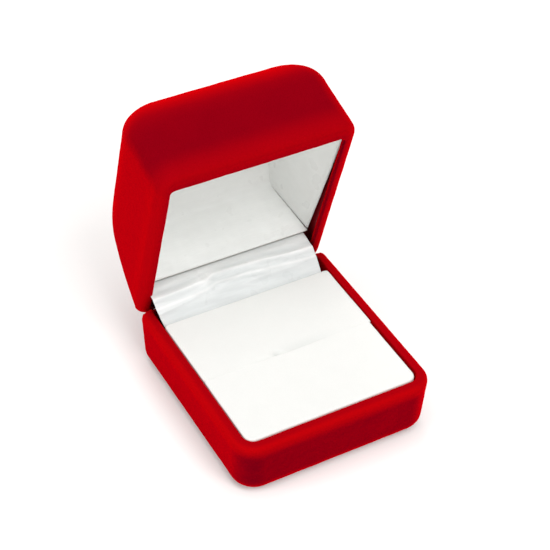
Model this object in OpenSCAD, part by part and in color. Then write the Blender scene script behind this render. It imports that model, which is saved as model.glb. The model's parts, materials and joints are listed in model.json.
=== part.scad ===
// Hinged ring box: two flocked plastic halves on a sprung steel hinge, a pair of
// foam pads that grip the ring between them, and a card lining in the lid.
// The front faces -Y and the hinge is at +Y. The origin is at the centre of the
// base's underside. Lid parts are drawn shut, then swung open about the pins.

/* [Box] */
// Width of the box, side to side
box_w = 50; // [46:1:56]
// Depth of the box, front to back
box_d = 55; // [54:1:60]
// Height of the base, up to its rim
base_h = 15; // [14:0.5:18]
// Radius of the upright corners
corner_r = 5.5; // [4.5:0.5:7]
// Thickness of the flock
flock_t = 0.45; // [0.35:0.05:0.6]

/* [Lid] */
// Radius of the lid's top edges
lid_edge_r = 10.5; // [9:0.5:11]
// Radius of the lid's curved back
lid_back_r = 40; // [39:0.5:42]

/* [Hinge] */
// How far the lid swings open
open_angle = 74; // [70:1:76]

/* [Pads] */
// Width of the ring slot between the pads
slot_w = 0.8; // [0.6:0.1:2]
// Place of the ring slot, front to back
slot_y = -3.5; // [-6:0.5:0]

/* [Hidden] */

past = 1;               // a cut runs this far past the face it opens
wide = box_w + 2 * past;

// Base
wall = 2.7;             // full wall, flock inside and out
draft = 0.6;            // lean of the base's walls over its height
foot_r = 3.3;           // bottom edge of the base
rim_r = 1.5;            // outer edge of either rim
inner_in = wall - flock_t;      // from the outside to the plastic's inner face
floor_z = flock_t + 1.8;
base_turn_in = 4;       // depth of flock inside the base's rim
corner_steps = 5;       // facets in a quarter of an upright corner
edge_step = 15;         // degrees between the levels of a rounded edge

// Lid, drawn shut
rim_gap = 0.2;
lid_z = base_h + rim_gap;
lid_h = 26;
lid_top = lid_z + lid_h;
lid_turn_in = 0.6;      // depth of flock inside the lid's rim
lid_rim_side = 3.2;     // the lid's rim is wider than its walls at the sides
lid_rim_front = 4.3;    // and widest at the front
mouth_r = 1;            // upright corners at the front of the lid's mouth
lid_rim_top = lid_z + flock_t + lid_turn_in;
back_y = box_d / 2 - 37;        // axis of the curved back
back_z = lid_top - lid_back_r;
back_levels = 6;        // levels up the lid's wall

// Hinge
pin = [box_d / 2 - 4.5, base_h - 2];    // axis of the pins, as y and z
pin_r = 0.6;
pin_run = 0.05;         // radial clearance of a pin in the lid leaf's ear
ear_r = 1;
ear_t = 0.8;
leaf_t = 0.5;
leaf_hw = box_w / 2 - 6.2;      // half width of either leaf
lid_ear_x = leaf_hw - 1.8;
base_ear_x = leaf_hw - 0.8;
tab_hw = 7;             // half width of the tabs that hold the spring
spring_anchor = [-1.3, 3.9];    // spring's hook, from the pins, as y and height
spring_t = 0.4;
spring_bow = 3;

// The gap at the back lets the lid's rear rim swing down as it opens.
lid_notch_y = pin[0] + 1;
base_notch_y = pin[0] + 0.6;
notch_slope = open_angle / 2;
notch_gap = 0.25;
seat_hw = leaf_hw + 0.4;
base_leaf_foot = base_h - 11.5;
base_leaf_top = base_h - 3.4;
base_ear_foot = base_h - 7.5;
lid_leaf_foot = lid_z + 2.4;
lid_leaf_top = lid_z + 7.8;
leaf_gap = 0.4;         // room between the lid's leaf and the curved back

// Pads
pad_left = -box_w / 2 + wall + 0.6;
pad_front = -box_d / 2 + wall + 0.3;
pad_back = pin[0] - 5.9;
front_pad_right = box_w / 2 - wall - 0.8;
rear_pad_right = box_w / 2 - wall - 0.4;
cover_t = 0.3;
card_t = 0.8;
pad_corner_r = 2;       // square at the slot, where the two pads meet

// Lining of the lid: visible outline as y and z, and the half width between the side cards
lining_rear = [pin[0] - 6.8, lid_z + 3.3];
lining_crease = [pin[0] - 11.3, lid_z + 16];
lining_rise = [pin[0] - 18, lid_z + 18];
lining_top = [-box_d / 2 + 10.5, lid_z + 20];
lining_front_top = [-box_d / 2 + 7, lid_z + 17.4];
lining_front = [-box_d / 2 + 4.8, lid_rim_top + 0.15];
satin_t = 0.25;
lining_t = 0.85;        // satin and card together
side_foot = [box_w / 2 - 2.95, lid_z + 1.1];    // foot of a side card's face, as x and z
side_lean = 0.35;       // how much a side card leans in for each mm it rises
side_t = 0.6;
side_gap = 0.05;

// Satin strip, open: its ends, its bulge towards the front and its thickness
strip_left = -box_w / 2 + 3.4;
strip_right = box_w / 2 - 4.4;
strip_foot = [pad_back + 0.4, base_h - 1.4];
strip_bow = 1.6;
strip_t = 0.3;

function arc(c, r, from, to, steps) =
    [for (i = [0:steps]) let (a = from + (to - from) * i / steps) [c[0] + r * cos(a), c[1] + r * sin(a)]];

// Outline of a rounded rectangle from [x0, y0] to [x1, y1].
function round_rect(x0, x1, y0, y1, r) = concat(
    arc([x1 - r, y1 - r], r, 0, 90, corner_steps),
    arc([x0 + r, y1 - r], r, 90, 180, corner_steps),
    arc([x0 + r, y0 + r], r, 180, 270, corner_steps),
    arc([x1 - r, y0 + r], r, 270, 360, corner_steps));

function level(outline, z) = [for (p = outline) [p[0], p[1], z]];

// A level of the box's outline, drawn in by inset, with its rear face at rear. Its corners
// are made sharper where it is too narrow for them.
function box_level(z, inset, r, rear) =
    let (half = min(box_w / 2 - inset, (rear + box_d / 2 - inset) / 2))
    level(round_rect(-box_w / 2 + inset, box_w / 2 - inset, -box_d / 2 + inset, rear,
        min(max(r, 0.4), half - 0.1)), z);

// Y of the lid's back at the height z, drawn in by inset.
function lid_rear(z, inset) =
    min(box_d / 2 - inset, back_y + sqrt(pow(lid_back_r - inset, 2) - pow(z - back_z, 2)));

// Where a point of the shut lid, as y and z, lies when the lid is open.
function opened(p) = let (y = p[0] - pin[0], z = p[1] - pin[1])
    [pin[0] + y * cos(open_angle) + z * sin(open_angle),
     pin[1] - y * sin(open_angle) + z * cos(open_angle)];

// Solid skin over a stack of levels with equal numbers of points.
module loft(levels) {
    n = len(levels[0]);
    m = len(levels);
    points = [for (l = levels) for (p = l) p];
    foot = [[for (i = [0:n - 1]) i]];
    top = [[for (i = [n - 1:-1:0]) (m - 1) * n + i]];
    sides = [for (k = [0:m - 2]) for (i = [0:n - 1]) let (j = (i + 1) % n)
        each [[k * n + i, (k + 1) * n + i, (k + 1) * n + j], [k * n + i, (k + 1) * n + j, k * n + j]]];
    polyhedron(points, concat(foot, sides, top));
}

// Base's outer form, drawn in by inset on every side but cut off at the height z_top.
module base_form(inset, z_top) {
    function lean(z) = draft * (1 - z / base_h);
    function at(z, more) =
        let (i = inset + more + lean(z)) box_level(z, i, corner_r - inset - more / 2, box_d / 2 - i);
    r = foot_r - inset;
    foot = [for (a = [90:-edge_step * 1.5:0]) at(inset + r * (1 - sin(a)), r * (1 - cos(a)))];
    rim = [for (a = [0:edge_step * 2:90]) at(z_top - rim_r * (1 - sin(a)), rim_r * (1 - cos(a)))];
    loft(concat(foot, rim));
}

// Lid's outer form, drawn in by inset, from the height z_foot up.
module lid_form(inset, z_foot) {
    rim_round = inset < wall / 2 ? rim_r : 0;
    edge_r = lid_edge_r - inset;
    shoulder = lid_top - lid_edge_r;
    function at(z, more) =
        box_level(z, inset + more, corner_r - inset, lid_rear(z, inset) - (z < shoulder ? more : 0));
    rim = rim_round == 0 ? []
        : [for (a = [90:-edge_step * 2:1]) at(z_foot + rim_r * (1 - sin(a)), rim_r * (1 - cos(a)))];
    up = z_foot + rim_round;
    walls = [for (k = [0:back_levels - 1]) at(up + (shoulder - up) * k / back_levels, 0)];
    edge = [for (a = [0:edge_step:75]) at(shoulder + edge_r * sin(a), edge_r * (1 - cos(a)))];
    top = [at(lid_top - inset - 0.001, edge_r)];
    loft(concat(rim, walls, edge, top));
}

// Upright prism with the box's outline drawn in by inset.
module outline_prism(inset, z0, z1) {
    translate([0, 0, z0]) linear_extrude(z1 - z0)
        polygon(round_rect(-box_w / 2 + inset, box_w / 2 - inset, -box_d / 2 + inset, box_d / 2 - inset,
            corner_r - inset));
}

// Prism along X with its outline given as y and z.
module along_x(x0, x1, outline) {
    translate([x0, 0, 0]) rotate([90, 0, 90]) linear_extrude(x1 - x0) polygon(outline);
}

module bar_x(x0, x1, c, r) {
    translate([x0, c[0], c[1]]) rotate([0, 90, 0]) cylinder(h = x1 - x0, r = r, $fn = 32);
}

module open_lid() {
    translate([0, pin[0], pin[1]]) rotate([-open_angle, 0, 0]) translate([0, -pin[0], -pin[1]]) children();
}

// Room that the open lid's rear rim takes out of the base.
module base_notch() {
    lip = opened([lid_notch_y, lid_z]);
    fall = open_angle - notch_slope;
    function under(y) = lip[1] - (y - lip[0]) * tan(fall) - notch_gap / cos(fall);
    rear = box_d / 2 + past;
    along_x(-wide / 2, wide / 2, [
        [base_notch_y, base_h + past], [base_notch_y, under(base_notch_y)],
        [rear, under(rear)], [rear, base_h + past]]);
}

module lid_notch() {
    rear = box_d / 2 + past;
    along_x(-wide / 2, wide / 2, [
        [lid_notch_y, lid_z - past], [lid_notch_y, lid_z],
        [rear, lid_z + (rear - lid_notch_y) * tan(notch_slope)], [rear, lid_z - past]]);
}

module base_shell() color("#8a0010") {
    difference() {
        base_form(flock_t, base_h - flock_t);
        outline_prism(inner_in, floor_z, base_h + past);
        base_notch();
    }
}

module base_flock() color("#c00010") {
    turn_z = base_h - flock_t - base_turn_in;
    difference() {
        union() {
            difference() {
                base_form(0, base_h);
                base_form(flock_t, base_h - flock_t);
            }
            outline_prism(inner_in, turn_z, base_h - flock_t / 2);
        }
        outline_prism(wall, turn_z - past, base_h + past);
        base_notch();
        translate([-seat_hw, pin[0], turn_z - past]) cube([2 * seat_hw, box_d / 2 - inner_in - pin[0], base_h]);
    }
}

module pad_card() color("#d8d2c4") {
    translate([pad_left + 0.4, pad_front + 0.4, floor_z])
        cube([front_pad_right - pad_left - 0.8, pad_back - pad_front - 0.8, card_t]);
}

// Pad drawn in by inset, from the pads' card up. Its upright corners are round at the end
// away from the slot: end is -1 for the front pad and 1 for the rear one.
module pad_block(end, inset) {
    slot_face = slot_y + end * (slot_w / 2 + inset);
    outer_face = end < 0 ? pad_front + inset : pad_back - inset;
    hidden_face = slot_face - end * 2 * pad_corner_r;
    x0 = pad_left + inset;
    x1 = (end < 0 ? front_pad_right : rear_pad_right) - inset;
    translate([0, 0, floor_z + card_t]) linear_extrude(base_h - inset - floor_z - card_t) intersection() {
        polygon(round_rect(x0, x1, min(outer_face, hidden_face), max(outer_face, hidden_face),
            pad_corner_r - inset));
        translate([x0, min(outer_face, slot_face)]) square([x1 - x0, abs(outer_face - slot_face)]);
    }
}

module pad_foam(end) pad_block(end, cover_t);

module pad_cover(end) {
    difference() {
        pad_block(end, 0);
        pad_foam(end);
    }
}

module front_pad_foam() color("#f2efe2") pad_foam(-1);
module front_pad_cover() color("white") pad_cover(-1);
module rear_pad_foam() color("#f2efe2") pad_foam(1);
module rear_pad_cover() color("white") pad_cover(1);

// Leaf on the inside of the base's rear wall, with an ear at each end and a tab for the spring.
module base_hinge_leaf() color("#2a2a2c") {
    face = box_d / 2 - inner_in;
    tab_z = pin[1] - spring_anchor[1];
    difference() {
        union() {
            along_x(-leaf_hw, leaf_hw, [[face - leaf_t, base_leaf_foot], [face, base_leaf_foot],
                [face, base_leaf_top], [face - leaf_t, base_leaf_top]]);
            for (side = [-1, 1]) {
                x0 = side > 0 ? base_ear_x : -base_ear_x - ear_t;
                bar_x(x0, x0 + ear_t, pin, ear_r);
                along_x(x0, x0 + ear_t, [[pin[0] - ear_r, pin[1]], [pin[0] - ear_r, pin[1] - 1.5],
                    [face, base_ear_foot], [face, base_leaf_top], [pin[0] + ear_r, pin[1] - 0.6],
                    [pin[0] + ear_r, pin[1]]]);
            }
            along_x(-tab_hw, tab_hw, [[pin[0] + spring_anchor[0], tab_z - leaf_t], [face, tab_z - leaf_t],
                [face, tab_z], [pin[0] + spring_anchor[0], tab_z]]);
        }
        bar_x(-leaf_hw - past, leaf_hw + past, pin, pin_r);
    }
}

// Leaf on the inside of the lid's curved back, drawn shut.
module lid_hinge_leaf() color("#2a2a2c") open_lid() {
    low = [lid_rear(lid_leaf_foot, inner_in) - leaf_gap, lid_leaf_foot];
    high = [lid_rear(lid_leaf_top, inner_in) - leaf_gap, lid_leaf_top];
    in = [low[1] - high[1], high[0] - low[0]] / norm(high - low) * leaf_t;
    anchor = pin + spring_anchor;
    difference() {
        union() {
            along_x(-leaf_hw + 1, leaf_hw - 1, [low, high, high + in, low + in]);
            for (side = [-1, 1]) {
                x0 = side > 0 ? lid_ear_x : -lid_ear_x - ear_t;
                bar_x(x0, x0 + ear_t, pin, ear_r);
                along_x(x0, x0 + ear_t, [[pin[0] - ear_r, pin[1]], [pin[0] + ear_r, pin[1]],
                    [pin[0] + ear_r, lid_z], low, high, high + in, [pin[0] - ear_r, lid_z + 1.8]]);
            }
            along_x(-tab_hw, tab_hw, [anchor, anchor + [0, leaf_t], low + in / 2 + [0, leaf_t], low + in / 2]);
        }
        bar_x(-leaf_hw - past, leaf_hw + past, pin, pin_r + pin_run);
    }
}

// Rivet through a base ear and a lid ear, with a head at each end.
module hinge_pin(side) {
    head_t = 0.4;
    inner = lid_ear_x - 0.15;
    outer = base_ear_x + ear_t;
    mirror([side < 0 ? 1 : 0, 0, 0]) {
        bar_x(inner, outer, pin, pin_r);
        bar_x(inner - head_t, inner, pin, pin_r + 0.3);
        bar_x(outer, outer + head_t, pin, pin_r + 0.3);
    }
}

module hinge_pin_left() color("#505054") hinge_pin(-1);
module hinge_pin_right() color("#505054") hinge_pin(1);

// Points of a bow from a to b, its middle standing out by height on the left of the way from a to b.
function bow(a, b, height, steps) =
    let (d = b - a, side = [-d[1], d[0]] / norm(d))
    [for (i = [0:steps]) let (t = i / steps) a + d * t + side * height * 4 * t * (1 - t)];

// Band between two bows that start and end side by side.
function band(a, b, height, t, steps) =
    let (d = b - a, side = [-d[1], d[0]] / norm(d), line = bow(a, b, height, steps))
    concat(line, [for (i = [steps:-1:0]) line[i] + side * t]);

// Bowed spring between the two leaves' tabs, as it lies with the lid open.
module hinge_spring() color("#606066") {
    a = pin + [spring_anchor[0], -spring_anchor[1]] + [-0.1, 0.1];
    b = opened(pin + spring_anchor) + [-0.1, 0.1];
    along_x(-tab_hw + 1, tab_hw - 1, band(a, b, spring_bow, spring_t, 8));
}

// White satin over the hinge, from behind the rear pad to under the lid's lining.
module satin_strip() color("whitesmoke") {
    tail = opened(lining_rear + [1.35, 0.3]);
    along_x(strip_left, strip_right, band(strip_foot, tail, strip_bow, strip_t, 8));
}

// Room inside the lid's rim, wider by more on every side.
module lid_mouth(more, z0, z1) {
    intersection() {
        outline_prism(wall - more, z0, z1);
        translate([0, 0, z0]) linear_extrude(z1 - z0)
            polygon(round_rect(-box_w / 2 + lid_rim_side - more, box_w / 2 - lid_rim_side + more,
                -box_d / 2 + lid_rim_front - more, box_d / 2, mouth_r + more));
    }
}

module lid_shell() color("#8a0010") open_lid() {
    difference() {
        lid_form(flock_t, lid_z + flock_t);
        lid_form(inner_in, lid_rim_top);
        lid_mouth(flock_t, lid_z - past, lid_rim_top + past);
        lid_notch();
    }
}

module lid_flock() color("#c00010") open_lid() {
    difference() {
        union() {
            difference() {
                lid_form(0, lid_z);
                lid_form(flock_t, lid_z + flock_t);
            }
            intersection() {
                lid_form(inner_in, lid_z - past);
                lid_mouth(flock_t, lid_z + flock_t / 2, lid_rim_top);
            }
        }
        lid_mouth(0, lid_z - past, lid_rim_top + past);
        lid_notch();
    }
}

// Outline of the lining's face, carried on down below its open foot.
function lining_outline() =
    let (rear_dir = lining_rear - lining_crease, front_dir = lining_front - lining_front_top)
    [lining_rear + rear_dir * 0.4, lining_rear, lining_crease, lining_rise, lining_top,
     lining_front_top, lining_front, lining_front + front_dir * 0.4];

// Half space above the lining's foot.
module above_foot() {
    along_x(-wide / 2, wide / 2, [lining_front, lining_rear, lining_rear + [10, 0],
        [box_d / 2, lid_top], [-box_d / 2, lid_top], lining_front + [-10, 0]]);
}

// Space between the planes of the two side cards' faces, wider by more on each side.
module between_sides(more) {
    function half_w(z) = side_foot[0] - (z - side_foot[1]) * side_lean + more;
    low = lid_z - past;
    translate([0, box_d / 2 + past, 0]) rotate([90, 0, 0]) linear_extrude(box_d + 2 * past)
        polygon([[-half_w(low), low], [half_w(low), low], [half_w(lid_top), lid_top], [-half_w(lid_top), lid_top]]);
}

// Room inside the lid's walls, whose round corners trim the corners of the cards.
module inside_shell() {
    outline_prism(inner_in + side_gap, lid_z - past, lid_top);
}

// Layer of the lining from a to b outside its face.
module lining_layer(a, b) {
    intersection() {
        translate([-wide / 2, 0, 0]) rotate([90, 0, 90]) linear_extrude(wide) difference() {
            offset(delta = b) polygon(lining_outline());
            offset(delta = a) polygon(lining_outline());
        }
        above_foot();
        between_sides(-side_gap);
        inside_shell();
    }
}

module lid_lining_card() color("#d8d2c4") open_lid() lining_layer(satin_t, lining_t);
module lid_lining_satin() color("white") open_lid() lining_layer(0, satin_t);

module side_card(side) {
    intersection() {
        difference() {
            between_sides(side_t);
            between_sides(0);
        }
        along_x(side > 0 ? 0 : -wide / 2, side > 0 ? wide / 2 : 0, lining_outline());
        above_foot();
        inside_shell();
    }
}

module lid_side_card_left() color("white") open_lid() side_card(-1);
module lid_side_card_right() color("white") open_lid() side_card(1);

base_shell();
base_flock();
pad_card();
front_pad_foam();
front_pad_cover();
rear_pad_foam();
rear_pad_cover();
base_hinge_leaf();
hinge_pin_left();
hinge_pin_right();
hinge_spring();
satin_strip();
lid_shell();
lid_flock();
lid_hinge_leaf();
lid_lining_card();
lid_lining_satin();
lid_side_card_left();
lid_side_card_right();
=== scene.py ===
"""Looks of a hinged, flocked ring box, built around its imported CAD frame.

Shapes are worked out in millimetres and made in metres. Lid pieces are drawn shut,
in the same frame as the base, and are then swung open about the hinge pins.
"""

import json
import math

import bmesh
import bpy
import numpy as np
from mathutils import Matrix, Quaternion, Vector, noise


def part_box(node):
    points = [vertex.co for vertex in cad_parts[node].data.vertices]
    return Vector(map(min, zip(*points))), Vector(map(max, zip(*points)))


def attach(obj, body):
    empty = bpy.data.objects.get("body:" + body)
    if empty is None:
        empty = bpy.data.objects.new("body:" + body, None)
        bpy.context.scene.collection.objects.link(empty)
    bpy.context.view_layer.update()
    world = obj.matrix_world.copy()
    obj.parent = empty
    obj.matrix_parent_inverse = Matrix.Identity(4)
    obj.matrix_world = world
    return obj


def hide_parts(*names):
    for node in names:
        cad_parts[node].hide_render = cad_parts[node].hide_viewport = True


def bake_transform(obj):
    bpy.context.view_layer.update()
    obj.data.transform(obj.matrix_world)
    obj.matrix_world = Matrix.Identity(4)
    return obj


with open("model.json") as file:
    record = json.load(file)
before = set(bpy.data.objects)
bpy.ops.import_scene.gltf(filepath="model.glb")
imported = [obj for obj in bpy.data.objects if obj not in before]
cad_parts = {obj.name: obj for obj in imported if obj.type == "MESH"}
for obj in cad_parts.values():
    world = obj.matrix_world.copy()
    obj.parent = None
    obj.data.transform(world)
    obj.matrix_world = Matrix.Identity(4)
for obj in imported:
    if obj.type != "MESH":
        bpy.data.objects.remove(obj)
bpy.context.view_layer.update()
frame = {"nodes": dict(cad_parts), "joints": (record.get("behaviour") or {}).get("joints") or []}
MM = 0.001

# ---------------------------------------------------------------- sizes, in millimetres


def cad_box(*nodes):
    """Lowest and highest corner of some CAD nodes together, as they lie at rest."""
    corners = np.array([[list(c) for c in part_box(n)] for n in nodes]) / MM
    return corners[:, 0].min(0), corners[:, 1].max(0)


def turned(points, angle):
    """Points turned about the hinge by angle; a positive angle shuts the lid."""
    c, s = math.cos(angle), math.sin(angle)
    y, z = points[..., 1] - PIN[1], points[..., 2] - PIN[2]
    return np.stack([points[..., 0], PIN[1] + y * c - z * s, PIN[2] + y * s + z * c], -1)


def shut_box(node):
    """Lowest and highest corner of a lid node with the lid shut."""
    points = np.array([v.co for v in frame["nodes"][node].data.vertices]) / MM
    points = turned(points, OPEN)
    return points.min(0), points.max(0)


hinge = frame["joints"][0]
PIN = np.array(hinge["pos_m"]) / MM
OPEN = math.radians(hinge["range_deg"][1])

base_high = cad_box("base_flock")[1]
lid_low, lid_high = shut_box("lid_flock")
HALF_W = base_high[0]
HALF_D = -lid_low[1]
BASE_H = base_high[2]
LID_Z = lid_low[2]
LID_TOP = lid_high[2]

WALL = 2.7
FLOCK = 0.45
SKIN = 0.4          # drawn a little thinner than the flock, so that it clears the plastic
DRAFT = 0.6
CORNER_R = 5.5
FOOT_R = 3.3
RIM_R = 1.8         # outer edge of the base's rim, rounder than the plastic under it
LIP_R = 0.4         # inner edge of either rim
REAR_RIM_R = 0.6    # outer edge at the back, where the notch cuts the plastic square
LEAST_FLAT = 0.2    # flat part that a rim keeps between its two rounded edges
RIM_STEPS = 14      # steps round each edge of a rim
BASE_TURN_IN = 4
LID_TURN_IN = 0.6
LID_RIM_R = 2.2
LID_LIP_R = 0.5
LID_RIM_SIDE = 3.35     # the lid's rim is wider than its walls at the sides
LID_RIM_FRONT = 4.95    # and widest at the front
MOUTH_R = 1.0           # inner corners of the lid's front rim
LID_EDGE_R = 10.5
LID_BACK_R = 40
BACK_Y = HALF_D - 37
BACK_Z = LID_TOP - LID_BACK_R
NOTCH_SLOPE = OPEN / 2
NOTCH_GAP = 0.12     # tighter than the shells' gap, as the pile fills it
LEAF_HALF_W = 19.2

# Lining of the lid, shut, as y and z: corners of its face and the radius of each bend
LINING = [(16.2, 18.5), (11.7, 31.2), (5.0, 33.2), (-17.0, 35.2), (-20.5, 32.6), (-22.7, 16.4)]
LINING_BENDS = [0, 3.2, 6.0, 2.2, 2.2, 0]
SATIN_T = 0.25
LINING_MIDDLE = (-3, 22)
SIDE_FOOT = (22.05, 16.3)
SIDE_LEAN = 0.35
SIDE_T = 0.6
PAD_CORNER_R = 2.2
PAD_COVER_T = 0.28
PAD_FOAM_INSET = 0.3
PAD_LEFT_EXTRA = 0.3    # the pads reach this far past their CAD, up to the left rim

# Surface relief, as layers of size and height
FLOCK_RELIEF = [(5, 0.05), (1.3, 0.03), (0.6, 0.02)]
PAD_RELIEF = [(7, 0.05), (2.2, 0.02)]

# Crease along the satin strip: its places along X, and its share of the way up at each
STRIP_CREASE_X = [-21.6, -13, -9, -6, 0, 8, 15, 20.6]
STRIP_CREASE_UP = [0.60, 0.63, 0.66, 0.74, 0.73, 0.68, 0.62, 0.60]

# Columns of a ring round the box: per corner, along X and along Y
CORNER_COLUMNS = 14
X_COLUMNS = 72
Y_COLUMNS = 80

# Rings down the lid's outside: its flat top, its rounded edge and its walls
LID_TOP_INSETS = (3.3, 2.2, 1.1)
LID_EDGE_STEPS = 30
LID_WALL_ROWS = 34
LID_COVER_ROWS = len(LID_TOP_INSETS) + LID_EDGE_STEPS + LID_WALL_ROWS
LID_EDGE_MIDDLE = 15    # the ring half way round the rounded edge


def smooth(a, b, x):
    t = np.clip((x - a) / (b - a), 0, 1)
    return t * t * (3 - 2 * t)


def arc(start, end, steps):
    """Sine and cosine of each step from one angle to another, in degrees."""
    a = np.radians(np.linspace(start, end, steps + 1))
    return zip(np.sin(a), np.cos(a))


# ---------------------------------------------------------------- meshes


def make_object(name, points, faces):
    """Smooth-shaded mesh object from points in millimetres."""
    mesh = bpy.data.meshes.new(name)
    mesh.from_pydata((np.asarray(points).reshape(-1, 3) * MM).tolist(), [], faces)
    bm = bmesh.new()
    bm.from_mesh(mesh)
    bmesh.ops.recalc_face_normals(bm, faces=bm.faces)
    bm.to_mesh(mesh)
    bm.free()
    mesh.polygons.foreach_set("use_smooth", [True] * len(mesh.polygons))
    obj = bpy.data.objects.new(name, mesh)
    bpy.context.scene.collection.objects.link(obj)
    return obj


def ring(x0, x1, y0, y1, r, z, rear_r=None):
    """Rounded rectangle at height z, anticlockwise from the end of the +X side."""
    most = min((x1 - x0) / 2, (y1 - y0) / 2) - 0.05
    r = min(r, most)
    rear = min(rear_r or r, most)
    radii = [rear, rear, r, r]
    centres = [(x1 - rear, y1 - rear), (x0 + rear, y1 - rear), (x0 + r, y0 + r), (x1 - r, y0 + r)]
    points = []
    for k, (cx, cy) in enumerate(centres):
        a = np.radians(90 * k + np.linspace(0, 90, CORNER_COLUMNS + 1))
        corner = np.stack([cx + radii[k] * np.cos(a), cy + radii[k] * np.sin(a)], -1)
        nx, ny = centres[(k + 1) % 4]
        b = math.radians(90 * (k + 1))
        following_r = radii[(k + 1) % 4]
        following = np.array([nx + following_r * math.cos(b), ny + following_r * math.sin(b)])
        columns = X_COLUMNS if k % 2 == 0 else Y_COLUMNS
        share = np.linspace(0, 1, columns + 1)[1:-1, None]
        points += [corner, corner[-1] + (following - corner[-1]) * share]
    points = np.concatenate(points)
    return np.column_stack([points, np.full(len(points), z)])


def loft(name, rings):
    """Closed skin through a stack of rings, with its first and last ring filled."""
    m, n = rings.shape[:2]
    faces = [
        (k * n + i, k * n + (i + 1) % n, (k + 1) * n + (i + 1) % n, (k + 1) * n + i)
        for k in range(m - 1)
        for i in range(n)
    ]
    faces += [tuple(range(n)), tuple(range((m - 1) * n, m * n))]
    return make_object(name, rings, faces)


def grid_normals(grid):
    along = np.gradient(grid, axis=0)
    across = np.gradient(grid, axis=1)
    normals = np.cross(along, across)
    return normals / np.linalg.norm(normals, axis=2, keepdims=True)


def slab(name, grid, thickness):
    """Closed sheet whose face is the grid, with its thickness behind it and softened edges."""
    m, n = grid.shape[:2]
    back = grid - grid_normals(grid) * thickness
    edge = np.zeros((m, n, 1))
    edge[[0, -1]] = 0.3
    edge[:, [0, -1]] = 0.3
    face, back = grid + (back - grid) * edge, back + (grid - back) * edge
    points = np.concatenate([face.reshape(-1, 3), back.reshape(-1, 3)])
    index = np.arange(m * n).reshape(m, n)
    quads = np.stack([index[:-1, :-1], index[1:, :-1], index[1:, 1:], index[:-1, 1:]], -1)
    quads = quads.reshape(-1, 4)
    faces = quads.tolist() + (quads[:, ::-1] + m * n).tolist()
    border = np.concatenate([index[0, :-1], index[:-1, -1], index[-1, :0:-1], index[:0:-1, 0]])
    following = np.roll(border, -1)
    faces += np.stack([border, following, following + m * n, border + m * n], -1).tolist()
    return make_object(name, points, faces)


def roughen(obj, layers):
    """Moves each vertex along its normal by noise; a layer is its size and height in mm."""
    mesh = obj.data
    for v, normal in zip(mesh.vertices, [n.vector.copy() for n in mesh.vertex_normals]):
        height = sum(depth * noise.noise(v.co / (size * MM)) for size, depth in layers)
        v.co += normal * height * MM


def fillet(corners, radii, spacing):
    """Points along a line of corners, each rounded by its radius, about spacing apart."""
    corners = np.array(corners, float)
    path = [corners[0]]
    for k in range(1, len(corners) - 1):
        before, after = corners[k - 1] - corners[k], corners[k + 1] - corners[k]
        before, after = before / np.linalg.norm(before), after / np.linalg.norm(after)
        half = math.acos(np.clip(before @ after, -1, 1)) / 2
        reach = radii[k] / math.tan(half)
        t = np.linspace(0, 1, 13)[:, None]
        a, b = corners[k] + before * reach, corners[k] + after * reach
        path += list((1 - t) ** 2 * a + 2 * t * (1 - t) * corners[k] + t**2 * b)
    path = np.array(path + [corners[-1]])
    run = np.concatenate([[0], np.cumsum(np.linalg.norm(np.diff(path, axis=0), axis=1))])
    stops = np.linspace(0, run[-1], round(run[-1] / spacing) + 1)
    return np.stack([np.interp(stops, run, path[:, i]) for i in range(2)], -1)


# ---------------------------------------------------------------- materials


class Shader:
    """A node material with one Principled shader, and short ways to add to it."""

    def __init__(self, name, colour, **inputs):
        self.material = bpy.data.materials.new(name)
        self.material.use_nodes = True
        self.tree = self.material.node_tree
        self.surface = self.tree.nodes["Principled BSDF"]
        self.coords = self.add("ShaderNodeTexCoord").outputs["Object"]
        self.set(self.surface, "Base Color", (*colour, 1))
        self.material.diffuse_color = (*colour, 1)
        for key, value in inputs.items():
            self.set(self.surface, key.replace("_", " "), value)

    def add(self, kind, **settings):
        node = self.tree.nodes.new(kind)
        for key, value in settings.items():
            setattr(node, key, value)
        return node

    def set(self, node, socket, value):
        if isinstance(value, bpy.types.NodeSocket):
            self.tree.links.new(value, node.inputs[socket])
        else:
            node.inputs[socket].default_value = value

    def noise(self, size, detail=2.0, roughness=0.5, stretch=(1, 1, 1)):
        """Noise from 0 to 1 with features of about size mm."""
        place = self.coords
        if stretch != (1, 1, 1):
            mapping = self.add("ShaderNodeMapping")
            self.set(mapping, "Vector", place)
            self.set(mapping, "Scale", stretch)
            place = mapping.outputs["Vector"]
        texture = self.add("ShaderNodeTexNoise")
        self.set(texture, "Vector", place)
        self.set(texture, "Scale", 1 / (size * MM))
        self.set(texture, "Detail", detail)
        self.set(texture, "Roughness", roughness)
        return texture.outputs["Fac"]

    def spread(self, value, low, high, to_low=0.0, to_high=1.0):
        """Maps low..high of a value onto to_low..to_high."""
        node = self.add("ShaderNodeMapRange", clamp=True)
        self.set(node, "Value", value)
        self.set(node, "From Min", low)
        self.set(node, "From Max", high)
        self.set(node, "To Min", to_low)
        self.set(node, "To Max", to_high)
        return node.outputs["Result"]

    def mix(self, factor, a, b, blend="MIX"):
        node = self.add("ShaderNodeMix", data_type="RGBA", blend_type=blend)
        self.set(node, 0, factor)
        self.set(node, 6, (*a, 1) if isinstance(a, tuple) else a)
        self.set(node, 7, (*b, 1) if isinstance(b, tuple) else b)
        return node.outputs[2]

    def bump(self, height, depth, strength=1.0, under=None):
        """Bump of depth mm, on top of an earlier one."""
        node = self.add("ShaderNodeBump")
        self.set(node, "Height", height)
        self.set(node, "Distance", depth * MM)
        self.set(node, "Strength", strength)
        if under is not None:
            self.set(node, "Normal", under)
        return node.outputs["Normal"]

    def finish(self, colour=None, normal=None, roughness=None):
        for socket, value in (("Base Color", colour), ("Normal", normal), ("Roughness", roughness)):
            if value is not None:
                self.set(self.surface, socket, value)
        return self.material


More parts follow.
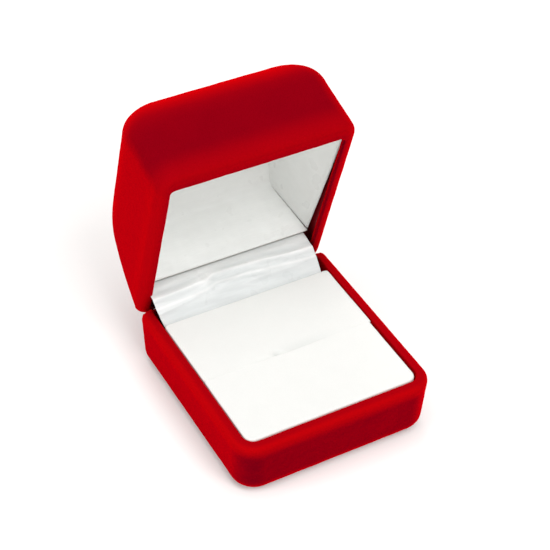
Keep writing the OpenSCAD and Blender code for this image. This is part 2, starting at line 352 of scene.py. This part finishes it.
def red_flock():
    """Short dense red pile: matt, with painted sheen that lightens it at grazing angles, painted
    highlight on its marked edges, and small brushed patches.
    """
    s = Shader("red_flock", (0.19, 0.0, 0.006), Roughness=1.0, Specular_IOR_Level=0.0,
               Sheen_Weight=0.9, Sheen_Roughness=0.42, Sheen_Tint=(1.0, 0.0, 0.004, 1))
    fibres = s.spread(s.noise(0.16, 3, 0.7), 0.3, 0.7)
    tufts = s.spread(s.noise(0.7, 2, 0.6), 0.3, 0.7)
    brushed = s.spread(s.noise(7, 2), 0.35, 0.65)
    pile = s.mix(fibres, (0.10, 0.0, 0.005), (0.155, 0.0, 0.0078))
    pile = s.mix(s.spread(tufts, 0, 1, 0.0, 0.35), pile, (0.11, 0.0, 0.0045))
    pile = s.mix(s.spread(brushed, 0, 1, 0.0, 0.25), pile, (0.18, 0.0, 0.006))
    # Painted sheen: the pile's colour is mixed towards bright red as the surface turns away from
    # the view.
    turning = s.add("ShaderNodeLayerWeight")
    s.set(turning, "Blend", 0.5)
    painted_sheen = s.spread(turning.outputs["Facing"], 0.35, 0.8, 0.0, 0.7)
    pile = s.mix(painted_sheen, pile, (0.50, 0.0, 0.003))
    # Painted highlight: the vertex values marked 'edge' mix the pile towards a light red on rims,
    # lips, the lid's outside and its rounded top edge.
    painted_edge_light = s.add("ShaderNodeAttribute", attribute_name="edge")
    pile = s.mix(s.spread(painted_edge_light.outputs["Fac"], 0, 1, 0, 0.8), pile, (0.55, 0.001, 0.002))
    relief = s.bump(fibres, 0.05, 0.55)
    return s.finish(pile, s.bump(tufts, 0.06, 0.5, relief))


def pad_cloth():
    """White velvet over foam."""
    s = Shader("pad_cloth", (0.84, 0.84, 0.82), Roughness=0.95, Specular_IOR_Level=0.1,
               Sheen_Weight=0.15, Sheen_Roughness=0.4, Sheen_Tint=(1, 1, 1, 1))
    fibres = s.spread(s.noise(0.18, 3, 0.7), 0.3, 0.7)
    brushed = s.spread(s.noise(5, 2), 0.35, 0.65)
    pile = s.mix(fibres, (0.81, 0.815, 0.795), (0.85, 0.855, 0.835))
    pile = s.mix(s.spread(brushed, 0, 1, 0, 0.2), pile, (0.87, 0.87, 0.85))
    # Painted shade: the pile is drawn greyer in the dents behind the slot.
    pressed_with_painted_shade = s.add("ShaderNodeAttribute", attribute_name="pressed_with_painted_shade")
    pile = s.mix(s.spread(pressed_with_painted_shade.outputs["Fac"], 0, 1), pile, (0.66, 0.68, 0.665))
    return s.finish(pile, s.bump(fibres, 0.04, 0.4))


def satin(name, colour, along, streaked):
    """White satin: a fine lustrous weave, with threads running along one axis.

    streaked is how much darker its soft streaks are.
    """
    s = Shader(name, colour, Specular_IOR_Level=0.45, Anisotropic=0.4,
               Sheen_Weight=0.15, Sheen_Roughness=0.3, Sheen_Tint=(1, 1, 1, 1))
    stretch = tuple(0.06 if axis == along else 1 for axis in "XYZ")
    threads = s.spread(s.noise(0.12, 2, 0.5, stretch), 0.3, 0.7)
    clouds = s.spread(s.noise(6, 2), 0.3, 0.7)
    streaks = s.spread(s.noise(1.6, 2, 0.5, (0.12, 1, 1)), 0.35, 0.65)
    dull = tuple(c * 0.93 for c in colour)
    dark = tuple(c * 0.75 for c in colour)
    cloth = s.mix(s.spread(threads, 0, 1, 0.2, 0.8), dull, colour)
    cloth = s.mix(s.spread(clouds, 0, 1, 0, 0.3), cloth, dull)
    cloth = s.mix(s.spread(streaks, 0, 1, 0, streaked), cloth, dark)
    # Painted highlight: the vertex values marked 'crease' lighten the satin towards white.
    painted_satin_highlight = s.add("ShaderNodeAttribute", attribute_name="crease")
    cloth = s.mix(s.spread(painted_satin_highlight.outputs["Fac"], 0, 1), cloth, (0.96, 0.965, 0.96))
    rough = s.spread(clouds, 0, 1, 0.26, 0.36)
    return s.finish(cloth, s.bump(threads, 0.02, 0.5), rough)


def card():
    """Grey-white board with short paper fibres."""
    s = Shader("card", (0.62, 0.58, 0.50), Roughness=0.85, Specular_IOR_Level=0.2)
    fibres = s.spread(s.noise(0.25, 3, 0.7, (1, 0.3, 1)), 0.35, 0.65)
    board = s.mix(fibres, (0.56, 0.52, 0.44), (0.68, 0.64, 0.56))
    return s.finish(board, s.bump(fibres, 0.03, 0.4))


def foam():
    """Open-cell foam."""
    s = Shader("pad_foam", (0.80, 0.77, 0.66), Roughness=0.9, Specular_IOR_Level=0.2)
    cells = s.add("ShaderNodeTexVoronoi")
    s.set(cells, "Vector", s.coords)
    s.set(cells, "Scale", 1 / (0.45 * MM))
    depth = s.spread(cells.outputs["Distance"], 0, 0.6)
    # Painted shade: the cells' hollows are drawn darker, by the same values that sink them in the
    # bump.
    return s.finish(s.mix(depth, (0.62, 0.58, 0.46), (0.84, 0.81, 0.70)), s.bump(depth, 0.15, 0.6))


def shell_plastic():
    """Dark red moulded plastic with a faint grain."""
    s = Shader("shell_plastic", (0.26, 0.002, 0.008), Specular_IOR_Level=0.3)
    grain = s.noise(0.5, 3)
    flow = s.spread(s.noise(9, 2), 0.3, 0.7)
    colour = s.mix(flow, (0.23, 0.001, 0.006), (0.29, 0.003, 0.010))
    return s.finish(colour, s.bump(grain, 0.02, 0.4), s.spread(grain, 0.3, 0.7, 0.38, 0.55))


def steel(name, colour, rough, along="X"):
    """Blacked or bright sheet steel with rolling marks along one axis."""
    s = Shader(name, colour, Metallic=1.0)
    stretch = tuple(0.05 if axis == along else 1 for axis in "XYZ")
    marks = s.spread(s.noise(0.2, 2, 0.6, stretch), 0.3, 0.7)
    stains = s.spread(s.noise(2.5, 3), 0.35, 0.65)
    pale = tuple(min(1, c * 1.5 + 0.01) for c in colour)
    tone = s.mix(s.spread(stains, 0, 1, 0, 0.6), colour, pale)
    return s.finish(tone, s.bump(marks, 0.01, 0.4), s.spread(marks, 0, 1, rough, rough + 0.15))


def wear(node, material):
    """Gives a CAD node that stays a better material."""
    obj = frame["nodes"][node]
    obj.data.materials.clear()
    obj.data.materials.append(material)


def place(obj, material, body, slot, *nodes):
    """Dresses a new piece, fixes it to its body and lets it stand for its CAD nodes."""
    obj.data.materials.append(material)
    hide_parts(*nodes)
    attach(obj, body)


# ---------------------------------------------------------------- flocked halves


def rim_profile(top, up, turn_in, width=WALL, r=RIM_R, lip_r=LIP_R):
    """Inset and height of a rim's section, from its outer face to the end of its turn-in.

    up is 1 for a rim that faces up and -1 for one that faces down.
    """
    r = min(r, width - lip_r - LEAST_FLAT)
    section = [(r * (1 - c), top - up * r * (1 - s)) for s, c in arc(0, 90, RIM_STEPS)]
    flat_end = width - lip_r
    section += [(r + (flat_end - r) * k / 4, top) for k in range(1, 4)]
    section += [(width - lip_r * (1 - s), top - up * lip_r * (1 - c))
                for s, c in arc(0, 90, RIM_STEPS)]
    depth = lip_r + np.linspace(0, turn_in - lip_r, max(2, round(turn_in * 2)))[1:]
    section += [(width, top - up * d) for d in depth]
    behind = width - SKIN
    section += [(behind, top - up * turn_in), (behind, top - up * SKIN * 1.2)]
    return section + [(SKIN + r, top - up * SKIN), (SKIN + 0.3, top - up * (SKIN + r))]


def mark(obj, name, values):
    """Gives each vertex a value that a material can read."""
    attribute = obj.data.attributes.new(name, "FLOAT", "POINT")
    attribute.data.foreach_set("value", np.asarray(values, np.float32).reshape(-1))
    return obj


def base_cap(y):
    """Height of the base's rim, which drops at the back to let the lid's rim swing down."""
    lip = turned(np.array([0, PIN[1] + 1, LID_Z]), -OPEN)
    fall = OPEN - NOTCH_SLOPE
    under = lip[2] - (y - lip[1]) * math.tan(fall) - NOTCH_GAP / math.cos(fall)
    drop = smooth(PIN[1] + 0.35, PIN[1] + 0.75, y)
    return BASE_H + (np.minimum(under, BASE_H) - BASE_H) * drop


def flocked_base():
    levels = [(FOOT_R + more, 0) for more in (15, 9, 4, 1.5)]
    levels += [(FOOT_R * (1 - c), FOOT_R * (1 - s)) for s, c in arc(90, 0, 12)]
    levels += [(0, z) for z in np.linspace(FOOT_R, BASE_H - RIM_R, 22)[1:-1]]
    rear_insets = [inset for inset, z in levels]
    rear_insets += [inset for inset, z in rim_profile(BASE_H, 1, BASE_TURN_IN, r=REAR_RIM_R)]
    levels += rim_profile(BASE_H, 1, BASE_TURN_IN)
    inner = [(SKIN + (FOOT_R - SKIN) * (1 - c), SKIN + (FOOT_R - SKIN) * (1 - s))
             for s, c in arc(0, 90, 6)]
    hidden = [(SKIN, BASE_H / 2), *inner, (FOOT_R + 15, SKIN)]
    levels += hidden
    rear_insets += [inset for inset, z in hidden]
    rings = []
    for (inset, z), rear in zip(levels, rear_insets):
        draft = DRAFT * (1 - z / BASE_H)
        i = inset + draft
        r = CORNER_R - min(inset, WALL) if z > BASE_H / 2 else CORNER_R - inset / 2
        back = HALF_D - rear - draft
        rings.append(ring(-HALF_W + i, HALF_W - i, -HALF_D + i, back, max(r, 1), z))
    rings = np.array(rings)
    x, y, z = rings[..., 0], rings[..., 1], rings[..., 2]
    inner_rows = np.zeros(len(levels), bool)
    inner_rows[[k for k, (i, h) in enumerate(levels) if i > WALL - 0.5 and h > BASE_H / 2]] = True
    seat = smooth(LEAF_HALF_W + 0.8, LEAF_HALF_W, abs(x)) * smooth(PIN[1] - 0.5, PIN[1] + 0.3, y)
    z += np.where(inner_rows[:, None], (BASE_H - SKIN - z) * 0.9 * seat, 0) * (z < BASE_H - SKIN)
    hold = 6    # nothing below this height moves for the notch
    squeeze = (base_cap(y) - hold) / (BASE_H - hold)
    rings[..., 2] = np.where(z > hold, hold + (z - hold) * squeeze, z)
    # Painted highlight: the rim's pile is drawn lighter than the walls, through the 'edge' values.
    rim_highlight = [
        smooth(BASE_H - 4, BASE_H - 0.5, h) * (0.95 - 0.25 * smooth(0.5, 1.5, i)) * (i <= WALL)
        for i, h in levels
    ]
    return mark(loft("flocked_base", rings), "edge", np.repeat(rim_highlight, rings.shape[1]))


def lid_rear(z, inset):
    """Y of the lid's back at height z, shut."""
    bulge = (LID_BACK_R - inset) ** 2 - (z - BACK_Z) ** 2
    return min(HALF_D - inset, BACK_Y + math.sqrt(max(bulge, 0)))


def lid_ring(z, inset, more, rear_more):
    i = inset + more
    rear = lid_rear(z, inset) - rear_more
    return ring(-HALF_W + i, HALF_W - i, -HALF_D + i, rear, CORNER_R - min(inset, WALL), z)


def lid_cover(inset, wall_rows, edge_steps):
    """Rings from the middle of the lid's top down to its shoulder and its walls' foot."""
    top = LID_TOP - inset
    edge = LID_EDGE_R - inset
    shoulder = LID_TOP - LID_EDGE_R
    rings = [lid_ring(top, inset, edge + e, e) for e in LID_TOP_INSETS]
    rings += [lid_ring(shoulder + edge * s, inset, edge * (1 - c), 0)
              for s, c in arc(90, 0, edge_steps)]
    foot = LID_Z + LID_RIM_R + inset
    return rings + [lid_ring(z, inset, 0, 0) for z in np.linspace(shoulder, foot, wall_rows)[1:]]


def flocked_lid():
    rings = lid_cover(0, LID_WALL_ROWS, LID_EDGE_STEPS)
    rims = ((LID_RIM_SIDE, LID_RIM_R), (LID_RIM_FRONT, LID_RIM_R), (WALL, REAR_RIM_R))
    sections = [rim_profile(LID_Z, -1, FLOCK + LID_TURN_IN, w, r, LID_LIP_R) for w, r in rims]
    for (side, z), (front, _), (rear, _) in list(zip(*sections))[1:]:
        corner_r = CORNER_R - min(side / LID_RIM_SIDE, 1) * (CORNER_R - MOUTH_R)
        rings.append(ring(-HALF_W + side, HALF_W - side, -HALF_D + front, HALF_D - rear,
                          corner_r, z, rear_r=CORNER_R - min(rear, WALL)))
    rings += lid_cover(SKIN, 8, 10)[::-1]
    rings = np.array(rings)
    y, z = rings[..., 1], rings[..., 2]
    hold = LID_Z + 7    # nothing above this height moves for the notch
    foot = LID_Z + np.maximum(y - PIN[1] - 1, 0) * math.tan(NOTCH_SLOPE)
    rings[..., 2] = np.where(z < hold, hold - (hold - z) * (hold - foot) / (hold - LID_Z), z)
    # Painted highlight: the 'edge' values below draw the lid's outside, its rim, its lip and its
    # rounded top edge lighter than the base's walls.
    rows = np.arange(len(rings))
    heights = rings[:, :, 2].mean(1)
    rim_highlight = np.where(rows < LID_COVER_ROWS, smooth(LID_Z + 7, LID_Z + 2, heights),
                      np.exp(-(((rows - LID_COVER_ROWS) / 8) ** 2)))
    edge_highlight = np.exp(-(((rows - LID_EDGE_MIDDLE) / 11) ** 2)) * (rows < LID_COVER_ROWS)
    edge_highlight = np.where(rows < LID_EDGE_MIDDLE, 0.65 + 0.35 * edge_highlight, edge_highlight)
    lip_highlight = np.exp(-(((rows - LID_COVER_ROWS - 10) / 6) ** 2))
    outside = smooth(LID_COVER_ROWS + 22, LID_COVER_ROWS + 5, rows)
    weights = 0.28 * outside + 0.3 * rim_highlight + 0.4 * lip_highlight
    weights = weights[:, None] + 0.9 * edge_highlight[:, None] * smooth(16, 2, y)
    return mark(loft("flocked_lid", turned(rings, -OPEN)), "edge", weights)


# ---------------------------------------------------------------- pads


def edge_lines(low, high, r_low, r_high, spacing):
    """Grid lines from low to high, closer together where the edges are rounded."""
    first = [low + r_low * (1 - c) for s, c in arc(0, 90, 6)]
    last = [high - r_high * (1 - c) for s, c in arc(0, 90, 6)][::-1]
    steps = round((last[0] - first[-1]) / spacing)
    middle = np.linspace(first[-1], last[0], steps + 1)[1:-1]
    return np.concatenate([first, middle, last])


def block_shell(low, high, lip_front, lip_rear, shape, inset=0):
    """Open-bottomed pad surface, drawn in by inset, with rounded top edges and corners.

    shape(x, y) is the top's rise. Returns its points, faces and lowest ring.
    """
    edge_r, lip_r = 0.45, 0.4
    r_front, r_rear = (lip_r if lip else edge_r for lip in (lip_front, lip_rear))
    xs = edge_lines(low[0], high[0], edge_r, edge_r, 0.5)
    ys = edge_lines(low[1], high[1], r_front, r_rear, 0.5)
    x, y = np.meshgrid(xs, ys, indexing="ij")
    ex = np.maximum(0, 1 - np.minimum(x - low[0], high[0] - x) / edge_r)
    near_front = (y - low[1]) < (high[1] - y)
    at_lip = np.where(near_front, lip_front, lip_rear)
    parted = 0.02 + (lip_r - 0.02) * np.exp(-(((x - 1) / 7) ** 2))
    ry = np.where(at_lip, parted, edge_r)
    ey = np.maximum(0, 1 - np.minimum(y - low[1], high[1] - y) / ry)
    share = ex**4 / np.maximum(ex**4 + ey**4, 1e-9)
    r = edge_r * share + ry * (1 - share)
    e = np.maximum(ex, ey)
    z = high[2] - r * (1 - np.sqrt(np.maximum(0, 1 - e**2)))
    plan_r = np.where(at_lip, 0.35, 0.8 if lip_front else PAD_CORNER_R)
    qx = np.clip(x, low[0] + plan_r, high[0] - plan_r)
    qy = np.clip(y, low[1] + plan_r, high[1] - plan_r)
    dx, dy = x - qx, y - qy
    length = np.maximum(np.hypot(dx, dy), 1e-9)
    pull = np.maximum(abs(dx), abs(dy)) / length
    x, y = qx + dx * pull, qy + dy * pull
    z = z + shape(x, y) * (1 - np.maximum(ex, ey * ~at_lip) ** 2)
    middle_x, middle_y = (low[0] + high[0]) / 2, (low[1] + high[1]) / 2
    x = middle_x + (x - middle_x) * (1 - 2 * inset / (high[0] - low[0]))
    y = middle_y + (y - middle_y) * (1 - 2 * inset / (high[1] - low[1]))
    top = np.stack([x, y, z - inset], -1)
    m, n = x.shape
    index = np.arange(m * n).reshape(m, n)
    quads = np.stack([index[:-1, :-1], index[1:, :-1], index[1:, 1:], index[:-1, 1:]], -1)
    border = np.concatenate([index[:-1, 0], index[-1, :-1], index[:0:-1, -1], index[0, :0:-1]])
    points = [top.reshape(-1, 3)]
    faces = quads.reshape(-1, 4).tolist()
    upper = border
    rim = points[0][border]
    levels = 14
    for k in range(1, levels + 1):
        level = rim.copy()
        level[:, 2] += (low[2] - rim[:, 2]) * k / levels
        lower = m * n + (k - 1) * len(border) + np.arange(len(border))
        faces += np.stack([upper, lower, np.roll(lower, -1), np.roll(upper, -1)], -1).tolist()
        points.append(level)
        upper = lower
    return np.concatenate(points), faces, upper


def pad_cover(name, *box_and_shape):
    """Cloth cover of a pad: two skins joined along its lowest edge."""
    outer, faces, ring_out = block_shell(*box_and_shape)
    inner, _, ring_in = block_shell(*box_and_shape, inset=PAD_COVER_T)
    count = len(outer)
    lining_faces = [[i + count for i in reversed(f)] for f in faces]
    ring_in = ring_in + count
    hem = np.stack([ring_out, ring_in, np.roll(ring_in, -1), np.roll(ring_out, -1)], -1)
    return make_object(name, np.concatenate([outer, inner]), faces + lining_faces + hem.tolist())


def pad_foam(name, *box_and_shape):
    points, faces, ring_in = block_shell(*box_and_shape, inset=PAD_FOAM_INSET)
    return make_object(name, points, [*faces, ring_in.tolist()])


def dent(x, y, cx, cy, wide, deep, depth):
    """Rise of a soft hollow round a point, which is below zero."""
    return -depth * np.exp(-(((x - cx) / wide) ** 2) - ((y - cy) / deep) ** 2)


def pads(cloth, sponge):
    front_low, front_high = cad_box("front_pad_cover")
    rear_low, rear_high = cad_box("rear_pad_cover")
    slot_y = (front_high[1] + rear_low[1]) / 2
    closing = (rear_low[1] - front_high[1]) / 2 - 0.005
    front_high[1] += closing
    rear_low[1] -= closing
    for low in (front_low, rear_low):
        low[0] -= PAD_LEFT_EXTRA

    def dents_and_painted_shade(x, y):
        """Dents where rings have pushed the pads down round the slot; their depth also sets painted
        shade on the pad cloth.
        """
        behind = y > slot_y
        soft = dent(x, y, 4, slot_y, 6.5, 2.4, 0.6) * behind
        pressed_with_painted_shade = dent(x, y, -2.8, slot_y + 0.3, 1.0, 0.9, 0.7)
        pressed_with_painted_shade = pressed_with_painted_shade + dent(x, y, -6.5, slot_y, 1.8, 0.7, 0.3)
        return soft + pressed_with_painted_shade * behind

    for side, box, lips in (
        ("front", (front_low, front_high), (False, True)),
        ("rear", (rear_low, rear_high), (True, False)),
    ):
        cover = pad_cover(side + "_ring_pad", *box, *lips, dents_and_painted_shade)
        at = np.array([v.co for v in cover.data.vertices]) / MM
        # Painted shade: the pile is greyer where the dents are deepest.
        mark(cover, "pressed_with_painted_shade", np.clip(-dents_and_painted_shade(at[:, 0], at[:, 1]) * 0.9, 0, 1))
        roughen(cover, PAD_RELIEF)
        place(cover, cloth, "base", "pad_cloth", side + "_pad_cover")
        core = pad_foam(side + "_ring_pad_core", *box, *lips, dents_and_painted_shade)
        roughen(core, PAD_RELIEF)
        place(core, sponge, "base", "pad_foam", side + "_pad_foam")


# ---------------------------------------------------------------- lid lining


def side_x(z, gap=0.05):
    """Half width of the lining between the side cards at height z, shut."""
    return SIDE_FOOT[0] - (z - SIDE_FOOT[1]) * SIDE_LEAN - gap


def soft_noise(points, size, seed):
    """Smooth noise at each point of a grid."""
    flat = [noise.noise(Vector(p) / size + Vector((seed, 0, 0))) for p in points.reshape(-1, 3)]
    return np.array(flat).reshape(points.shape[:-1])


def lining(material):
    foot, crease = np.array(LINING[0]), np.array(LINING[1])
    foot = foot + (foot - crease) / np.linalg.norm(foot - crease) * 0.35
    path = fillet([foot, *LINING[1:]], LINING_BENDS, 0.5)
    across = np.linspace(-1, 1, 96)
    y, u = np.meshgrid(path[:, 0], across, indexing="ij")
    z = np.repeat(path[:, 1][:, None], len(across), 1)
    corner = HALF_D - WALL - 0.3
    limit = side_x(z, -0.2 + 0.22 * smooth(9, 13, y))
    grid = np.stack([u * limit, np.clip(y, -corner, corner), z], -1)
    relief = soft_noise(grid, 9, 3) * 0.24 + soft_noise(grid, 3.5, 8) * 0.12
    relief = relief + soft_noise(grid, 1.5, 5) * 0.035
    normals = grid_normals(grid)
    inward = np.sign(np.sum(normals * (np.array([0, *LINING_MIDDLE]) - grid), 2, keepdims=True))
    normals = normals * inward
    fade = smooth(1, 0.93, abs(u))
    grid = grid + normals * (relief * fade)[..., None]
    if inward[0, 0, 0] < 0:
        grid = grid[:, ::-1]
    obj = slab("lid_satin_lining", turned(grid, -OPEN), SATIN_T - 0.05)
    place(obj, material, "lid", "white_lining", "lid_lining_satin")


def side_card(material, side):
    """Covered card that closes one end of the lining."""
    foot_front, foot_rear = np.array(LINING[-1]), np.array(LINING[0])
    roof = fillet(LINING[4:0:-1], [0, 2, 6, 0], 0.6)
    middle = np.array(LINING_MIDDLE)
    roof = middle + (roof - middle) * 1.03
    share = np.linspace(0, 1, len(roof))[:, None]
    foot = foot_front + (foot_rear - foot_front) * share
    rise = np.linspace(0, 1, 36)
    grid = foot[:, None] + (roof - foot)[:, None] * rise[None, :, None]
    y, z = grid[..., 0], grid[..., 1]
    pillow = 0.16 * np.sin(np.pi * np.clip(rise, 0, 1))[None, :] * np.sin(np.pi * share)
    x = side_x(z, 0) - pillow
    points = np.stack([side * x, y, z], -1)
    points[..., 0] -= side * soft_noise(points, 8, 20 + side) * 0.12
    if side > 0:
        points = points[::-1]
    end = "left" if side < 0 else "right"
    obj = slab("lid_side_satin_" + end, turned(points, -OPEN), SIDE_T - 0.1)
    place(obj, material, "lid", "white_lining", "lid_side_card_" + end)


# ---------------------------------------------------------------- hinge cover and spring


def satin_strip(material):
    """Satin that hides the hinge, bowed forward and creased along its length."""
    low, high = cad_box("satin_strip")
    foot = np.array([low[1] + 0.1, low[2] + 0.3])
    tail = turned(np.array([0, LINING[0][0] + 1.35, LINING[0][1] + 0.3]), -OPEN)[1:]
    t = np.linspace(0, 1, 72)[:, None]
    x = np.linspace(low[0], high[0], 240)[None, :]
    chord = tail - foot
    side = np.array([-chord[1], chord[0]]) / np.linalg.norm(chord)
    bow = 4 * t * (1 - t)
    crease = np.interp(x, STRIP_CREASE_X, STRIP_CREASE_UP)
    off = t - crease
    ridge = 0.60 * np.exp(-abs(off) / np.where(off > 0, 0.06, 0.13))
    hollow = -0.30 * np.exp(-(((x + 3) / 3.6) ** 2) - ((off - 0.12) / 0.07) ** 2)
    hollow = hollow - 0.16 * np.exp(-(((x + 17) / 3.5) ** 2) - ((off - 0.13) / 0.08) ** 2)
    low_fold = 0.20 * np.exp(-abs(off + 0.30 + 0.04 * np.sin(x / 5)) / 0.06)
    out = (1.25 + ridge + hollow + low_fold) * bow
    y = foot[0] + chord[0] * t + side[0] * out
    z = foot[1] + chord[1] * t + side[1] * out
    grid = np.stack([np.repeat(x, len(t), 0), y, z], -1)
    creased = 1 - 2 * abs(soft_noise(grid * np.array([0.16, 1, 1]), 1.8, 40))
    near = np.exp(-(((x + 8) / 3.2) ** 2) - (off / 0.2) ** 2)
    sharp = 1 - 2 * abs(soft_noise(grid * np.array([0.7, 1, 1]), 2.0, 60))
    relief = (creased * 0.16 + sharp * 0.26 * near) * bow
    grid[..., 0] -= 0.7 * bow * smooth(-15, low[0], x)
    grid[..., 1] += side[0] * relief
    grid[..., 2] += side[1] * relief
    # Painted highlight: the strip is drawn lighter along the crease's ridge, a lower fold, the
    # sharp crumple and its upper part.
    painted_lustre = 0.9 * np.exp(-((off / 0.05) ** 2)) + 0.6 * np.exp(-(((off + 0.22) / 0.03) ** 2))
    painted_lustre = painted_lustre + 0.7 * near * sharp + 0.45 * smooth(0.02, 0.2, off)
    painted_lustre = np.clip(painted_lustre + 0.35 * creased - 0.15, 0, 1)[:, ::-1]
    obj = slab("satin_hinge_strip", grid[:, ::-1], 0.2)
    mark(obj, "crease", np.concatenate([painted_lustre, painted_lustre]))
    obj.data.materials.append(material)
    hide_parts("satin_strip")
    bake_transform(obj)


def spring(material):
    """Bowed leaf spring between the two hinge leaves' tabs, drawn as it lies with the lid open."""
    low, high = cad_box("hinge_spring")
    a = PIN[1:] + np.array([-1.4, -3.8])
    b = turned(np.array([0, PIN[1] - 1.3, PIN[2] + 3.9]), -OPEN)[1:] + np.array([-0.1, 0.1])
    t = np.linspace(0, 1, 33)[:, None]
    chord = b - a
    side = np.array([-chord[1], chord[0]]) / np.linalg.norm(chord)
    bow = 3
    out = bow * 4 * t * (1 - t)
    x = np.linspace(low[0], high[0], 9)[None, :]
    waist = 1 - 0.22 * np.sin(np.pi * t) ** 2
    grid = np.stack([x * waist, (a[0] + chord[0] * t + side[0] * out).repeat(9, 1),
                     (a[1] + chord[1] * t + side[1] * out).repeat(9, 1)], -1)
    obj = slab("hinge_leaf_spring", grid, 0.35)
    obj.data.materials.append(material)
    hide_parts("hinge_spring")
    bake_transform(obj)


# ---------------------------------------------------------------- camera, floor and light


def camera():
    aim = Vector((-0.59, 3.44, 32.85)) * MM
    distance, azimuth, elevation, roll = 370 * MM, -30.196, 41.396, 2.122
    a, e = math.radians(azimuth), math.radians(elevation)
    back = Vector((math.sin(a) * math.cos(e), -math.cos(a) * math.cos(e), math.sin(e)))
    data = bpy.data.cameras.new("camera")
    data.lens = 107.64
    data.clip_start, data.clip_end = 0.01, 20
    obj = bpy.data.objects.new("camera", data)
    obj.location = aim + back * distance
    obj.rotation_mode = "QUATERNION"
    turn = Quaternion((0, 0, 1), math.radians(roll))
    obj.rotation_quaternion = (-back).to_track_quat("-Z", "Y") @ turn
    bpy.context.scene.collection.objects.link(obj)
    bpy.context.scene.camera = obj


def floor():
    s = Shader("floor", (0.93, 0.93, 0.92), Roughness=0.9, Specular_IOR_Level=0.1)
    grain = s.noise(40, 2)
    s.set(s.surface, "Emission Color", (1, 1, 1, 1))
    s.set(s.surface, "Emission Strength", 0.12)
    s.finish(s.mix(s.spread(grain, 0.3, 0.7), (0.91, 0.91, 0.90), (0.93, 0.93, 0.92)))
    size = 1600
    corners = [(-size, -size, 0), (size, -size, 0), (size, size, 0), (-size, size, 0)]
    obj = make_object("floor", corners, [(0, 1, 2, 3)])
    obj.data.materials.append(s.material)


def softbox(name, azimuth, elevation, size, level, distance=0.9):
    """Round soft light aimed at the box; level is the brightness of a white card that faces it."""
    a, e = math.radians(azimuth), math.radians(elevation)
    toward = Vector((math.sin(a) * math.cos(e), -math.cos(a) * math.cos(e), math.sin(e)))
    data = bpy.data.lights.new(name, "AREA")
    data.shape = "DISK"
    data.size = size
    data.energy = level * (math.pi * distance) ** 2
    obj = bpy.data.objects.new(name, data)
    obj.location = toward * distance + Vector((0, 0, 0.02))
    obj.rotation_euler = (-toward).to_track_quat("-Z", "Y").to_euler()
    bpy.context.scene.collection.objects.link(obj)


def light():
    world = bpy.data.worlds.new("studio")
    world.use_nodes = True
    world.node_tree.nodes["Background"].inputs["Color"].default_value = (1, 0.99, 0.97, 1)
    world.node_tree.nodes["Background"].inputs["Strength"].default_value = 0.42
    bpy.context.scene.world = world
    softbox("front_softbox", 8, 50, 0.50, 0.43)
    softbox("top_softbox", 0, 86, 0.90, 0.40)
    softbox("left_softbox", -95, 28, 0.45, 0.28)
    softbox("back_softbox", 165, 40, 0.50, 0.12)
    bpy.context.scene.view_settings.view_transform = "Standard"


# ---------------------------------------------------------------- build

camera()
floor()
light()

flock = red_flock()
velvet = pad_cloth()
strip_satin = satin("white_satin", (0.82, 0.85, 0.85), "X", 0.4)
lining_satin = satin("white_lining", (0.89, 0.905, 0.885), "X", 0.08)
board = card()
plastic = shell_plastic()
sponge = foam()
black_steel = steel("hinge_steel", (0.03, 0.03, 0.032), 0.4)
pin_steel = steel("pin_steel", (0.16, 0.16, 0.17), 0.3, "X")
bright_steel = steel("spring_steel", (0.30, 0.30, 0.32), 0.25)

for flocked, body, node in (
    (flocked_base(), "base", "base_flock"),
    (flocked_lid(), "lid", "lid_flock"),
):
    roughen(flocked, FLOCK_RELIEF)
    place(flocked, flock, body, "red_flock", node)

pads(velvet, sponge)
lining(lining_satin)
side_card(lining_satin, -1)
side_card(lining_satin, 1)
satin_strip(strip_satin)
spring(bright_steel)

for node, material in {
    "base_shell": plastic,
    "lid_shell": plastic,
    "pad_card": board,
    "lid_lining_card": board,
    "base_hinge_leaf": black_steel,
    "lid_hinge_leaf": black_steel,
    "hinge_pin_left": pin_steel,
    "hinge_pin_right": pin_steel,
}.items():
    wear(node, material)
